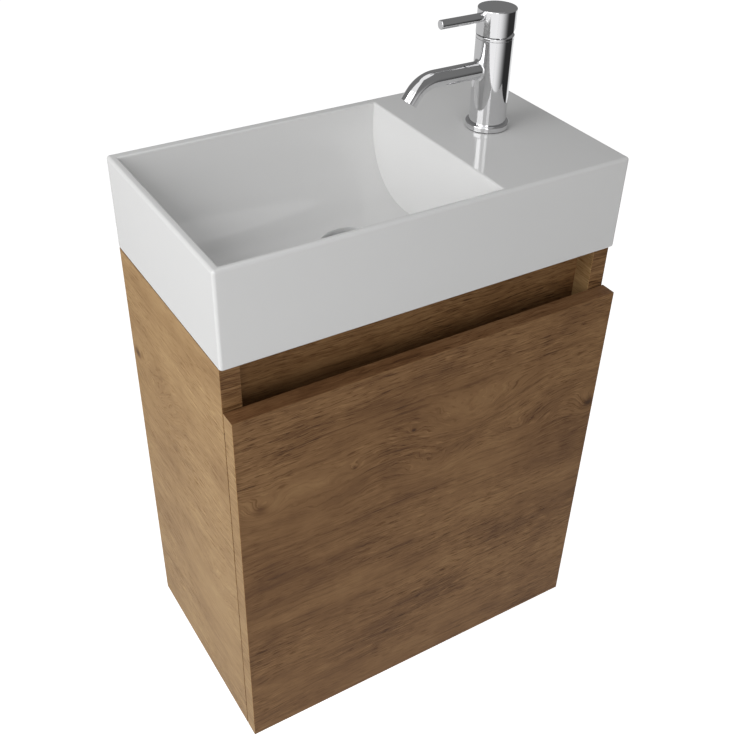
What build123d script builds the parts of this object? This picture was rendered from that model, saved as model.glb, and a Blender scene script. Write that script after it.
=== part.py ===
from build123d import *

import os
from math import radians, tan

# A wall-hung vanity unit: a ceramic basin with tap, waste and trap, on a cabinet with one door.
# X runs to the right, -Y to the front and Z up. The origin is on the wall, midway between the
# two wall screws of the upper back rail. Every size is in millimetres.

# Basin
basin_width = 400.0
basin_depth = 220.0
basin_floor_thickness = 12.0
basin_edge_radius = 3.0
basin_foot_radius = 2.5
rim_left = 7.5
rim_front = 6.0
rim_back = 10.0
rim_edge_radius = 1.8
bowl_depth = 78.0
bowl_sweep_radius = 75.0
bowl_end_radius = 45.0
bowl_wall_slope = 7.3
deck_width = 136.0
deck_thickness = 15.0
deck_wall = 9.0
deck_pocket_radius = 8.0
tap_hole_diameter = 35.0
tap_from_right = 72.0
tap_from_wall = 104.0
drain_from_bowl_edge = 84.0
drain_from_wall = 117.0
drain_recess_diameter = 63.0
drain_recess_depth = 6.0
drain_hole_diameter = 44.0

# Sealant between basin and cabinet
sealant_thickness = 1.0
sealant_width = 4.5
sealant_inset = 3.5

# Cabinet boards
carcass_inset = 1.0
carcass_setback = 5.0
carcass_height = 456.5
side_thickness = 18.0
board_thickness = 16.0
board_edge_radius = 0.6
fascia_setback = 20.0
fascia_height = 74.0
rail_height = 80.0
shelf_height = 130.0
shelf_setback = 22.0
shelf_clearance = 0.5
shelf_wall_gap = 3.0

# Door and its bumpers
door_thickness = 16.0
door_gap = 1.5
grip_opening = 42.0
bumper_diameter = 8.0
bumper_inset = 9.0
bumper_clearance = 0.1

# Wall screws, dowels, cams and shelf pegs
wall_screw_spacing = 240.0
wall_screw_hole = 8.0
fixing_from_board_edge = 20.0
cam_from_front = 40.0
cam_from_wall = 45.0
dowel_diameter = 8.0
dowel_in_side = 11.0
dowel_in_board = 18.0
cam_diameter = 15.0
cam_depth = 12.5
cam_backset = 24.0
cam_cross_length = 8.0
cam_cross_width = 1.6
cam_cross_depth = 2.0
cam_bolt_diameter = 6.0
cam_bolt_in_cam = 5.0
fixing_clearance = 0.1
peg_diameter = 5.0
peg_in_side = 8.0
peg_out = 9.0
peg_from_front = 45.0
peg_from_wall = 30.0

# Concealed hinges. Each pivot is given in plan with the door shut: its distance inwards from
# the side panel's outer face, then its distance ahead of the panel's front edge.
hinge_from_door_end = 75.0
hinge_cup_from_edge = 22.5
hinge_cup_diameter = 35.0
hinge_cup_depth = 12.0
hinge_cup_wall = 0.8
hinge_ear_from_edge = (7.5, 16.4)
hinge_ear_height = (5.7, 8.0)
hinge_wing_from_edge = (22.0, 35.0)
hinge_wing_thickness = 1.2
hinge_wing_half_height = 29.0
outer_link_arm_pivot = (36.46, -4.39)
outer_link_elbow = (18.28, 3.21)
outer_link_cup_pivot = (10.56, 4.2)
inner_link_arm_pivot = (36.26, 9.9)
inner_link_cup_pivot = (13.56, 6.43)
outer_link_width = 2.7
inner_link_width = 2.8
link_eye_diameter = 3.8
inner_link_half_height = 2.2
outer_link_height = (2.5, 3.9)
hinge_pin_diameter = 1.8
cup_pin_stub_start = 2.4
arm_wall_width = 3.2
arm_wall_height = (4.2, 5.4)
arm_bend = (30.0, -14.0)
arm_rear_inner = (29.6, -56.0)
arm_rear_outer = (23.2, -56.0)
arm_front_outer = (23.2, -24.0)
arm_web_from_edge = (30.0, 31.2)
hinge_plate_thickness = 2.2
hinge_plate_ahead = (-48.0, -26.0)
hinge_plate_half_height = 20.0
hinge_block_half_height = 3.9
hinge_screw_diameter = 3.5
hinge_screw_head = 6.4
hinge_screw_head_height = 1.6
hinge_screw_depth = 11.0
plate_screw_from_centre = 14.0
plate_screw_ahead = -37.0
arm_screw_diameter = 4.0
arm_screw_ahead = -40.0
arm_screw_length = 8.0
cup_screw_from_edge = 28.5
cup_screw_from_centre = 24.0

# Waste
waste_flange_diameter = 61.0
waste_flange_thickness = 2.0
waste_tube_diameter = 41.6
waste_bore = 35.0
waste_length = 68.0
waste_seal_thickness = 1.0
waste_seal_width = 7.0
grid_thickness = 1.5
grid_hole_diameter = 5.0
grid_hole_ring = 11.0
grid_hole_count = 8
waste_gasket_thickness = 4.0
waste_gasket_diameter = 64.0
waste_nut_thickness = 9.0
waste_nut_width = 56.0

# Bottle trap
pipe_diameter = 32.0
pipe_wall = 1.8
pipe_clearance = 0.2
trap_nut_diameter = 52.0
trap_nut_grip = 14.0
trap_nut_lip = 2.0
trap_seal_thickness = 2.0
trap_tube_showing = 12.0
bottle_diameter = 62.0
bottle_wall = 2.5
bottle_above_outlet = 19.0
bottle_below_outlet = 33.0
bottle_neck_diameter = 40.0
bottle_neck_height = 16.0
bottle_nut_height = 16.0
cup_height = 54.0
cup_thread_height = 10.0
cup_edge_radius = 6.0
outlet_neck_diameter = 42.0
outlet_neck_length = 14.0
outlet_nut_length = 18.0
outlet_seal_thickness = 3.0
outlet_pipe_overlap = 12.0
outlet_stop_diameter = 35.0
outlet_stop_width = 4.0
outlet_spigot = 30.0
dip_below_outlet = 40.0

# Tap
tap_body_diameter = 34.0
tap_body_top = 82.0
tap_foot_height = 6.0
tap_foot_diameter = 40.4
tap_foot_radius = 1.6
tap_shank_diameter = 31.0
tap_shank_depth = 6.0
tap_seal_thickness = 0.8
tap_seal_diameter = 39.0
tap_collar_height = 3.0
tap_collar_radius = 0.5
spout_diameter = 15.6
spout_bore = 12.0
spout_height = 55.0
spout_straight = 62.0
spout_bend_radius = 26.0
spout_bend_angle = 54.0
spout_tip_length = 8.0
spout_root_radius = 2.5
waterway_diameter = 7.0
aerator_length = 5.0
aerator_wall = 1.0
aerator_mesh_thickness = 1.2
aerator_hole_diameter = 1.6
aerator_hole_ring = 2.8
aerator_hole_count = 6
cap_diameter = 34.8
cap_gap = 1.0
cap_height = 21.8
cap_edge_radius = 0.8
cap_cavity_diameter = 29.0
cap_cavity_height = 8.5
cap_relief_angle = 24.0
lever_diameter = 8.0
lever_height = 101.0
lever_reach = 59.5
lever_embed = 9.0
lever_edge_radius = 0.5
grub_screw_diameter = 4.0
grub_screw_length = 5.0
grub_socket_diameter = 2.2
index_plug_diameter = 6.0
index_plug_depth = 2.5
index_plug_recess = 0.4
cartridge_diameter = 25.0
cartridge_bottom = 62.0
cartridge_shoulder = 77.0
cartridge_bore_bottom = 70.0
cartridge_neck_diameter = 19.0
part_clearance = 0.1
carrier_diameter = 15.0
running_clearance = 0.05
stem_width = 6.0
stem_thickness = 5.0
stem_top = 102.0
stem_bottom = 74.0
stem_pivot_height = 80.0
stem_slot_length = 11.2
stem_pin_diameter = 2.4
stem_pin_length = 14.0
inlet_thread_diameter = 9.2
inlet_spread = 13.0
inlet_offset = 6.5
inlet_channel_diameter = 5.0
stud_diameter = 8.0
stud_offset = 9.0
stud_length = 62.0
stud_in_body = 8.0
horseshoe_diameter = 48.0
horseshoe_thickness = 2.0
horseshoe_pad = 3.0
horseshoe_slot = 30.0
horseshoe_slot_start = 3.0
stud_nut_width = 13.0
stud_nut_height = 8.0

# Places worked out from the sizes above
carcass_top = rail_height / 2
carcass_bottom = carcass_top - carcass_height
carcass_front = carcass_setback - basin_depth
carcass_x = basin_width / 2 - carcass_inset
inner_x = carcass_x - side_thickness
basin_bottom = carcass_top + sealant_thickness
bowl_floor = basin_bottom + basin_floor_thickness
rim_z = bowl_floor + bowl_depth
bowl_left = rim_left - basin_width / 2
bowl_right = basin_width / 2 - deck_width
bowl_front = rim_front - basin_depth
bowl_back = -rim_back
pocket_left = bowl_right + deck_wall
pocket_right = basin_width / 2 - deck_wall
deck_underside = rim_z - deck_thickness
tap_x = basin_width / 2 - tap_from_right
tap_y = -tap_from_wall
drain_x = bowl_right - drain_from_bowl_edge
drain_y = -drain_from_wall
recess_floor = bowl_floor - drain_recess_depth
bottom_board_top = carcass_bottom + board_thickness
shelf_bottom = bottom_board_top + shelf_height
fascia_front = carcass_front + fascia_setback
fascia_back = fascia_front + board_thickness
fascia_bottom = carcass_top - fascia_height
door_back = carcass_front - door_gap
door_front = door_back - door_thickness
door_top = carcass_top - grip_opening
lower_rail_top = bottom_board_top + rail_height
rail_mid_y = -board_thickness / 2
fascia_mid_y = (fascia_front + fascia_back) / 2
bottom_mid_z = carcass_bottom + board_thickness / 2

# Where dowels and cam bolts cross from the side panels into each board, as (y, z)
upper_rail_cams = [(rail_mid_y, carcass_top - fixing_from_board_edge)]
upper_rail_dowels = [(rail_mid_y, carcass_top - rail_height + fixing_from_board_edge)]
lower_rail_cams = [(rail_mid_y, lower_rail_top - fixing_from_board_edge)]
lower_rail_dowels = [(rail_mid_y, bottom_board_top + fixing_from_board_edge)]
fascia_cams = [(fascia_mid_y, carcass_top - fixing_from_board_edge)]
fascia_dowels = [(fascia_mid_y, fascia_bottom + fixing_from_board_edge)]
bottom_cams = [
    (carcass_front + cam_from_front, bottom_mid_z),
    (-cam_from_wall, bottom_mid_z),
]
bottom_dowels = [(carcass_front / 2, bottom_mid_z)]
all_cams = upper_rail_cams + lower_rail_cams + fascia_cams + bottom_cams
all_dowels = upper_rail_dowels + lower_rail_dowels + fascia_dowels + bottom_dowels

# Heights of the two hinges, and where their pivots and screws lie
hinge_heights = (door_top - hinge_from_door_end, carcass_bottom + hinge_from_door_end)
cup_x = carcass_x - hinge_cup_from_edge
cup_screw_x = carcass_x - cup_screw_from_edge
hinge_base_x = inner_x - hinge_plate_thickness
plate_screw_y = carcass_front - plate_screw_ahead
arm_screw_y = carcass_front - arm_screw_ahead

to_right = (1, 0, 0)
to_left = (-1, 0, 0)
to_wall = (0, 1, 0)
to_front = (0, -1, 0)
upward = (0, 0, 1)
downward = (0, 0, -1)

pieces = {}


# Helpers: each adds to, or cuts from, the part that is being built


def block(x_range, y_range, z_range, mode=Mode.ADD):
    """A block between two x, two y and two z values."""
    x_low, x_high = x_range
    y_low, y_high = y_range
    z_low, z_high = z_range
    with BuildSketch(Plane.XY.offset(z_low)) as outline:
        with Locations(((x_low + x_high) / 2, (y_low + y_high) / 2)):
            Rectangle(x_high - x_low, y_high - y_low)
    extrude(outline.sketch, amount=z_high - z_low, mode=mode)


def rod(start, direction, diameter, length, mode=Mode.ADD):
    """A cylinder from a point, along a direction."""
    with BuildSketch(Plane(origin=start, z_dir=direction)) as outline:
        Circle(diameter / 2)
    extrude(outline.sketch, amount=length, mode=mode)


def ring(start, direction, outer, inner, length, mode=Mode.ADD):
    """A tube from a point, along a direction, by its outer and inner diameters."""
    with BuildSketch(Plane(origin=start, z_dir=direction)) as outline:
        Circle(outer / 2)
        Circle(inner / 2, mode=Mode.SUBTRACT)
    extrude(outline.sketch, amount=length, mode=mode)


def hex_bar(start, direction, width, length, mode=Mode.ADD):
    """A hexagonal bar from a point, along a direction, by its width across flats."""
    with BuildSketch(Plane(origin=start, z_dir=direction)) as outline:
        RegularPolygon(width / 2, 6, major_radius=False)
    extrude(outline.sketch, amount=length, mode=mode)


def hull_plate(spots, diameter, z_low, z_high, mode=Mode.ADD):
    """A flat plate drawn tightly around round spots, between two heights."""
    with BuildSketch(Plane.XY.offset(z_low)) as outline:
        with Locations(*spots):
            Circle(diameter / 2)
        make_hull()
    extrude(outline.sketch, amount=z_high - z_low, mode=mode)


def upright(spot, diameter, z_low, z_high, mode=Mode.ADD):
    """A vertical cylinder at a spot in plan, between two heights."""
    rod((*spot, z_low), upward, diameter, z_high - z_low, mode)


def hinge_spot(from_edge_and_ahead):
    """A spot in plan, from its distances to the side panel's outer face and front edge."""
    from_edge, ahead = from_edge_and_ahead
    return (carcass_x - from_edge, carcass_front - ahead)


def layers(height, low, high):
    """The two slices of height, above and below a hinge's middle, as (low, high) pairs."""
    return [(height + low, height + high), (height - high, height - low)]


def turned(outline_points, centre, mode=Mode.ADD):
    """A turned piece: an outline of (radius, height) points, spun about a vertical axis."""
    with BuildSketch(Plane(origin=centre, x_dir=to_right, z_dir=to_front)) as outline:
        with BuildLine():
            Polyline(*outline_points, close=True)
        make_face()
    revolve(outline.sketch, axis=Axis(centre, upward), mode=mode)


def at_tap(x, y, z):
    """A point given from the tap's centre on the deck."""
    return (tap_x + x, tap_y + y, rim_z + z)


def at_drain(z):
    """A point on the drain's axis, at a height above the origin."""
    return (drain_x, drain_y, z)


# Basin: a slab with the bowl sunk in its left part and a hollow under the tap deck


bowl_open = rim_z + basin_edge_radius + rim_edge_radius


def bowl_right_at(z):
    """The sloping right wall of the bowl, at a height."""
    return bowl_right + (z - rim_z) * tan(radians(bowl_wall_slope))


with BuildPart() as bowl_hollow:
    # The section from front to back: two wide arcs down to a flat floor
    with BuildSketch(Plane.YZ.offset(bowl_left)) as bowl_section:
        with Locations(((bowl_front + bowl_back) / 2, (bowl_floor + bowl_open) / 2)):
            Rectangle(bowl_back - bowl_front, bowl_open - bowl_floor)
        fillet(bowl_section.vertices().group_by(Axis.Y)[0], bowl_sweep_radius)
    extrude(amount=bowl_right_at(bowl_open) - bowl_left)
    # The section from left to right: a rounded left end and the sloping right wall
    with BuildSketch(Plane.XZ.offset(-bowl_back)) as bowl_length_section:
        with BuildLine():
            Polyline(
                (bowl_left, bowl_open),
                (bowl_left, bowl_floor),
                (bowl_right_at(bowl_floor), bowl_floor),
                (bowl_right_at(bowl_open), bowl_open),
                close=True,
            )
        make_face()
        fillet(bowl_length_section.vertices().group_by(Axis.Y)[0].sort_by(Axis.X)[0], bowl_end_radius)
    extrude(amount=bowl_back - bowl_front, mode=Mode.INTERSECT)

with BuildPart() as basin:
    block((-basin_width / 2, basin_width / 2), (-basin_depth, 0), (basin_bottom, rim_z))
    fillet(basin.edges().filter_by(Axis.Z), basin_edge_radius)
    fillet(basin.faces().sort_by(Axis.Z)[-1].edges(), basin_edge_radius)
    fillet(basin.faces().sort_by(Axis.Z)[0].edges(), basin_foot_radius)
    add(bowl_hollow.part, mode=Mode.SUBTRACT)
    fillet(basin.faces().sort_by(Axis.Z)[-1].inner_wires()[0].edges(), rim_edge_radius)
    # Hollow under the deck, open downwards, for the tap's fixing and its hoses
    with BuildSketch(Plane.XY.offset(basin_bottom)):
        with Locations(((pocket_left + pocket_right) / 2, -basin_depth / 2)):
            RectangleRounded(
                pocket_right - pocket_left, basin_depth - 2 * deck_wall, deck_pocket_radius
            )
    extrude(amount=deck_underside - basin_bottom, mode=Mode.SUBTRACT)
    rod(at_tap(0, 0, 0), downward, tap_hole_diameter, deck_thickness, Mode.SUBTRACT)
    rod(at_drain(recess_floor), upward, drain_recess_diameter, 2 * drain_recess_depth, Mode.SUBTRACT)
    rod(at_drain(bowl_floor), downward, drain_hole_diameter, bowl_depth, Mode.SUBTRACT)
pieces["basin"] = basin

# Sealant: a bead under the basin's outer walls, on the side panels, the rail and the fascia
with BuildPart() as basin_sealant:
    bead_outer = carcass_x - sealant_inset
    bead_inner = bead_outer - sealant_width
    bead_back = -sealant_inset
    bead_z = (carcass_top, basin_bottom)
    bead_front = carcass_front + sealant_inset
    fascia_bead = (fascia_mid_y - sealant_width / 2, fascia_mid_y + sealant_width / 2)
    block((-bead_outer, -bead_inner), (bead_front, bead_back), bead_z)
    block((bead_inner, bead_outer), (bead_front, bead_back), bead_z)
    block((-bead_outer, bead_outer), (bead_back - sealant_width, bead_back), bead_z)
    block((-bead_outer, bowl_right), fascia_bead, bead_z)
pieces["basin_sealant"] = basin_sealant


# Cabinet boards


def side_holes(hand):
    """Cut the blind holes for dowels, cam bolts and shelf pegs in a side panel's inner face."""
    inwards = (hand, 0, 0)
    for y, z in all_dowels:
        hole = dowel_diameter + fixing_clearance
        rod((hand * inner_x, y, z), inwards, hole, dowel_in_side, Mode.SUBTRACT)
    for y, z in all_cams:
        rod((hand * inner_x, y, z), inwards, cam_bolt_diameter, dowel_in_side, Mode.SUBTRACT)
    for y in peg_places_y:
        rod((hand * inner_x, y, peg_z), inwards, peg_diameter, peg_in_side, Mode.SUBTRACT)


def board_end_holes(cams, dowels):
    """Cut the holes for dowels and cam bolts in both ends of a board."""
    for hand in (-1, 1):
        outwards = (-hand, 0, 0)
        for y, z in dowels:
            hole = dowel_diameter + fixing_clearance
            rod((hand * inner_x, y, z), outwards, hole, dowel_in_board, Mode.SUBTRACT)
        for y, z in cams:
            hole = cam_bolt_diameter + fixing_clearance
            rod((hand * inner_x, y, z), outwards, hole, cam_backset, Mode.SUBTRACT)


def cam_pockets(starts, direction):
    """Cut the round pockets for the cam locks, from a board's face."""
    for start in starts:
        rod(start, direction, cam_diameter, cam_depth, Mode.SUBTRACT)


peg_z = shelf_bottom - peg_diameter / 2
peg_places_y = [carcass_front + peg_from_front, -peg_from_wall]
cam_x = inner_x - cam_backset
upper_rail_cam_starts = [(s * cam_x, -board_thickness, z) for s in (-1, 1) for y, z in upper_rail_cams]
lower_rail_cam_starts = [(s * cam_x, -board_thickness, z) for s in (-1, 1) for y, z in lower_rail_cams]
fascia_cam_starts = [(s * cam_x, fascia_back, z) for s in (-1, 1) for y, z in fascia_cams]
bottom_cam_starts = [(s * cam_x, y, carcass_bottom) for s in (-1, 1) for y, z in bottom_cams]

with BuildPart() as left_side_panel:
    block((-carcass_x, -inner_x), (carcass_front, 0), (carcass_bottom, carcass_top))
    fillet(left_side_panel.faces().sort_by(Axis.Y)[0].edges().filter_by(Axis.Z), board_edge_radius)
    side_holes(-1)
pieces["left_side_panel"] = left_side_panel

with BuildPart() as bottom_panel:
    block((-inner_x, inner_x), (carcass_front, 0), (carcass_bottom, bottom_board_top))
    board_end_holes(bottom_cams, bottom_dowels)
    cam_pockets(bottom_cam_starts, upward)
pieces["bottom_panel"] = bottom_panel

with BuildPart() as upper_back_rail:
    block((-inner_x, inner_x), (-board_thickness, 0), (carcass_top - rail_height, carcass_top))
    board_end_holes(upper_rail_cams, upper_rail_dowels)
    cam_pockets(upper_rail_cam_starts, to_wall)
    for screw_x in (-wall_screw_spacing / 2, wall_screw_spacing / 2):
        rod((screw_x, 0, 0), to_front, wall_screw_hole, board_thickness, Mode.SUBTRACT)
pieces["upper_back_rail"] = upper_back_rail

with BuildPart() as lower_back_rail:
    block((-inner_x, inner_x), (-board_thickness, 0), (bottom_board_top, lower_rail_top))
    board_end_holes(lower_rail_cams, lower_rail_dowels)
    cam_pockets(lower_rail_cam_starts, to_wall)
pieces["lower_back_rail"] = lower_back_rail

with BuildPart() as front_fascia:
    block((-inner_x, inner_x), (fascia_front, fascia_back), (fascia_bottom, carcass_top))
    board_end_holes(fascia_cams, fascia_dowels)
    cam_pockets(fascia_cam_starts, to_front)
pieces["front_fascia"] = front_fascia

with BuildPart() as shelf:
    shelf_x = inner_x - shelf_clearance
    shelf_y = (carcass_front + shelf_setback, -shelf_wall_gap)
    block((-shelf_x, shelf_x), shelf_y, (shelf_bottom, shelf_bottom + board_thickness))
    fillet(shelf.faces().sort_by(Axis.Y)[0].edges().filter_by(Axis.X), board_edge_radius)
pieces["shelf"] = shelf

# Fixings of the boards, as groups of like pieces


def cam_lock(start, direction, bolt_z_or_y):
    """One cam: a disc with a cross on its face and a bore for the bolt's head."""
    rod(start, direction, cam_diameter - fixing_clearance, cam_depth)
    plane = Plane(origin=start, z_dir=direction)
    with BuildSketch(plane) as cross:
        Rectangle(cam_cross_length, cam_cross_width)
        Rectangle(cam_cross_width, cam_cross_length)
    extrude(cross.sketch, amount=cam_cross_depth, mode=Mode.SUBTRACT)
    hand = 1 if start[0] > 0 else -1
    y, z = bolt_z_or_y
    edge_x = hand * (cam_x + cam_diameter / 2)
    hole = cam_bolt_diameter + fixing_clearance
    rod((edge_x, y, z), (-hand, 0, 0), hole, cam_bolt_in_cam, Mode.SUBTRACT)


with BuildPart() as cam_locks:
    for start in upper_rail_cam_starts:
        cam_lock(start, to_wall, upper_rail_cams[0])
    for start in lower_rail_cam_starts:
        cam_lock(start, to_wall, lower_rail_cams[0])
    for start in fascia_cam_starts:
        cam_lock(start, to_front, fascia_cams[0])
    for start in bottom_cam_starts:
        cam_lock(start, upward, (start[1], bottom_mid_z))
pieces["cam_locks"] = cam_locks

with BuildPart() as cam_bolts:
    bolt_reach = cam_backset - cam_diameter / 2 + cam_bolt_in_cam
    for hand in (-1, 1):
        for y, z in all_cams:
            start = (hand * (inner_x + dowel_in_side), y, z)
            rod(start, (-hand, 0, 0), cam_bolt_diameter, dowel_in_side + bolt_reach)
pieces["cam_bolts"] = cam_bolts

with BuildPart() as dowels:
    for hand in (-1, 1):
        for y, z in all_dowels:
            start = (hand * (inner_x + dowel_in_side), y, z)
            rod(start, (-hand, 0, 0), dowel_diameter, dowel_in_side + dowel_in_board)
pieces["dowels"] = dowels

with BuildPart() as shelf_pegs:
    for hand in (-1, 1):
        for y in peg_places_y:
            start = (hand * (inner_x + peg_in_side), y, peg_z)
            rod(start, (-hand, 0, 0), peg_diameter, peg_in_side + peg_out)
pieces["shelf_pegs"] = shelf_pegs


# Waste: a flanged tube through the drain hole, with a strainer, seal, gasket and back nut

seal_top = recess_floor + waste_seal_thickness
flange_top = seal_top + waste_flange_thickness
waste_end = flange_top - waste_length

with BuildPart() as waste_seal:
    seal_inner = waste_flange_diameter - 2 * waste_seal_width
    ring(at_drain(recess_floor), upward, waste_flange_diameter, seal_inner, waste_seal_thickness)
pieces["waste_seal"] = waste_seal

with BuildPart() as waste_body:
    rod(at_drain(seal_top), upward, waste_flange_diameter, waste_flange_thickness)
    fillet(waste_body.faces().sort_by(Axis.Z)[-1].edges(), waste_flange_thickness / 2)
    rod(at_drain(waste_end), upward, waste_tube_diameter, waste_length - waste_flange_thickness)
    rod(at_drain(waste_end), upward, waste_bore, waste_length, Mode.SUBTRACT)
pieces["waste_body"] = waste_body

with BuildPart() as waste_grid:
    rod(at_drain(seal_top), upward, waste_bore, grid_thickness)
    with BuildSketch(Plane.XY.offset(seal_top)) as grid_holes:
        with Locations((drain_x, drain_y)):
            Circle(grid_hole_diameter / 2)
            with PolarLocations(grid_hole_ring, grid_hole_count):
                Circle(grid_hole_diameter / 2)
    extrude(grid_holes.sketch, amount=grid_thickness, mode=Mode.SUBTRACT)
pieces["waste_grid"] = waste_grid

with BuildPart() as waste_gasket:
    gasket_start = at_drain(basin_bottom)
    ring(gasket_start, downward, waste_gasket_diameter, waste_tube_diameter, waste_gasket_thickness)
pieces["waste_gasket"] = waste_gasket

with BuildPart() as waste_nut:
    nut_start = at_drain(basin_bottom - waste_gasket_thickness)
    hex_bar(nut_start, downward, waste_nut_width, waste_nut_thickness)
    rod(nut_start, downward, waste_tube_diameter, waste_nut_thickness, Mode.SUBTRACT)
pieces["waste_nut"] = waste_nut


# Bottle trap: inlet nut, dip tube, bottle with its screw-off cup, and the pipe to the wall

pipe_hole = pipe_diameter + 2 * pipe_clearance
trap_seal_bottom = waste_end - trap_seal_thickness
tube_lip_bottom = trap_seal_bottom - trap_nut_lip
trap_nut_bottom = tube_lip_bottom - trap_nut_lip
bottle_nut_top = trap_nut_bottom - trap_tube_showing
neck_seal_top = bottle_nut_top - trap_nut_lip
neck_top = neck_seal_top - trap_seal_thickness
bottle_top = neck_top - bottle_neck_height
outlet_z = bottle_top - bottle_above_outlet
bottle_bottom = outlet_z - bottle_below_outlet
cup_top = bottle_bottom - trap_seal_thickness
cup_bottom = cup_top - cup_height
bottle_inner = bottle_diameter - 2 * bottle_wall
outlet_neck_end = drain_y + bottle_diameter / 2 + outlet_neck_length
outlet_seal_end = outlet_neck_end + outlet_seal_thickness
outlet_nut_start = outlet_seal_end + trap_nut_lip - outlet_nut_length

with BuildPart() as trap_inlet_nut:
    turned(
        [
            (waste_tube_diameter / 2 + part_clearance, waste_end + trap_nut_grip),
            (trap_nut_diameter / 2, waste_end + trap_nut_grip),
            (trap_nut_diameter / 2, trap_nut_bottom),
            (pipe_hole / 2, trap_nut_bottom),
            (pipe_hole / 2, tube_lip_bottom),
            (waste_tube_diameter / 2 + part_clearance, tube_lip_bottom),
        ],
        at_drain(0),
    )
pieces["trap_inlet_nut"] = trap_inlet_nut

with BuildPart() as trap_inlet_seal:
    seal_start = at_drain(trap_seal_bottom)
    ring(seal_start, upward, waste_tube_diameter, waste_bore, trap_seal_thickness)
pieces["trap_inlet_seal"] = trap_inlet_seal

with BuildPart() as trap_dip_tube:
    pipe_bore = pipe_diameter - 2 * pipe_wall
    dip_length = trap_seal_bottom - outlet_z + dip_below_outlet
    rod(at_drain(trap_seal_bottom), downward, waste_tube_diameter, trap_nut_lip)
    rod(at_drain(trap_seal_bottom), downward, pipe_diameter, dip_length)
    rod(at_drain(trap_seal_bottom), downward, pipe_bore, dip_length, Mode.SUBTRACT)
pieces["trap_dip_tube"] = trap_dip_tube

with BuildPart() as trap_neck_nut:
    turned(
        [
            (bottle_neck_diameter / 2 + part_clearance, neck_seal_top),
            (pipe_hole / 2, neck_seal_top),
            (pipe_hole / 2, bottle_nut_top),
            (trap_nut_diameter / 2, bottle_nut_top),
            (trap_nut_diameter / 2, bottle_nut_top - bottle_nut_height),
            (bottle_neck_diameter / 2 + part_clearance, bottle_nut_top - bottle_nut_height),
        ],
        at_drain(0),
    )
pieces["trap_neck_nut"] = trap_neck_nut

with BuildPart() as trap_neck_seal:
    seal_start = at_drain(neck_top)
    ring(seal_start, upward, bottle_neck_diameter, pipe_diameter, trap_seal_thickness)
pieces["trap_neck_seal"] = trap_neck_seal

with BuildPart() as trap_bottle:
    rod(at_drain(bottle_bottom), upward, bottle_diameter, bottle_top - bottle_bottom)
    fillet(trap_bottle.faces().sort_by(Axis.Z)[-1].edges(), cup_edge_radius)
    rod(at_drain(bottle_top), upward, bottle_neck_diameter, bottle_neck_height)
    neck_length = outlet_neck_end - drain_y
    rod(at_drain(outlet_z), to_wall, outlet_neck_diameter, neck_length)
    inner_height = bottle_top - bottle_wall - bottle_bottom
    rod(at_drain(bottle_bottom), upward, bottle_inner, inner_height, Mode.SUBTRACT)
    rod(at_drain(bottle_bottom), upward, pipe_hole, neck_top - bottle_bottom, Mode.SUBTRACT)
    rod(at_drain(outlet_z), to_wall, pipe_hole, neck_length, Mode.SUBTRACT)
pieces["trap_bottle"] = trap_bottle

with BuildPart() as trap_cup_seal:
    cup_collar = bottle_inner - 2 * part_clearance
    ring(at_drain(cup_top), upward, bottle_diameter, cup_collar, trap_seal_thickness)
pieces["trap_cup_seal"] = trap_cup_seal

with BuildPart() as trap_cup:
    rod(at_drain(cup_bottom), upward, bottle_diameter, cup_height)
    fillet(trap_cup.faces().sort_by(Axis.Z)[0].edges(), cup_edge_radius)
    collar_height = trap_seal_thickness + cup_thread_height
    rod(at_drain(cup_top), upward, cup_collar, collar_height)
    cup_bore = cup_collar - 2 * bottle_wall
    bore_height = cup_height + collar_height - bottle_wall
    rod(at_drain(cup_bottom + bottle_wall), upward, cup_bore, bore_height, Mode.SUBTRACT)
pieces["trap_cup"] = trap_cup

with BuildPart() as trap_outlet_seal:
    seal_start = (drain_x, outlet_neck_end, outlet_z)
    ring(seal_start, to_wall, outlet_neck_diameter, pipe_diameter, outlet_seal_thickness)
pieces["trap_outlet_seal"] = trap_outlet_seal

with BuildPart() as trap_outlet_nut:
    nut_start = (drain_x, outlet_nut_start, outlet_z)
    thread_bore = outlet_neck_diameter + 2 * part_clearance
    rod(nut_start, to_wall, trap_nut_diameter, outlet_nut_length)
    rod(nut_start, to_wall, pipe_hole, outlet_nut_length, Mode.SUBTRACT)
    rod(nut_start, to_wall, thread_bore, outlet_nut_length - trap_nut_lip, Mode.SUBTRACT)
pieces["trap_outlet_nut"] = trap_outlet_nut

with BuildPart() as trap_outlet_pipe:
    pipe_length = outlet_pipe_overlap - outlet_neck_end
    rod((drain_x, 0, outlet_z), to_front, pipe_diameter, pipe_length)
    stop_start = (drain_x, -outlet_spigot, outlet_z)
    rod(stop_start, to_front, outlet_stop_diameter, outlet_stop_width)
    rod((drain_x, 0, outlet_z), to_front, pipe_bore, pipe_length, Mode.SUBTRACT)
pieces["trap_outlet_pipe"] = trap_outlet_pipe


# Tap: heights are given from the deck


with BuildPart() as tap_base_seal:
    ring(at_tap(0, 0, 0), upward, tap_seal_diameter, tap_shank_diameter, tap_seal_thickness)
pieces["tap_base_seal"] = tap_base_seal

with BuildPart() as tap_base_ring:
    ring_height = tap_foot_height - tap_seal_thickness
    rod(at_tap(0, 0, tap_seal_thickness), upward, tap_foot_diameter, ring_height)
    fillet(tap_base_ring.faces().sort_by(Axis.Z)[-1].edges(), tap_foot_radius)
    shank_hole = tap_shank_diameter + 2 * part_clearance
    rod(at_tap(0, 0, tap_seal_thickness), upward, shank_hole, ring_height, Mode.SUBTRACT)
pieces["tap_base_ring"] = tap_base_ring

# Shank: the insert under the body, with the two inlets and the hole for the stud
inlets = [(side * inlet_spread / 2, inlet_offset) for side in (-1, 1)]
shank_length = tap_foot_height + tap_shank_depth

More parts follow.
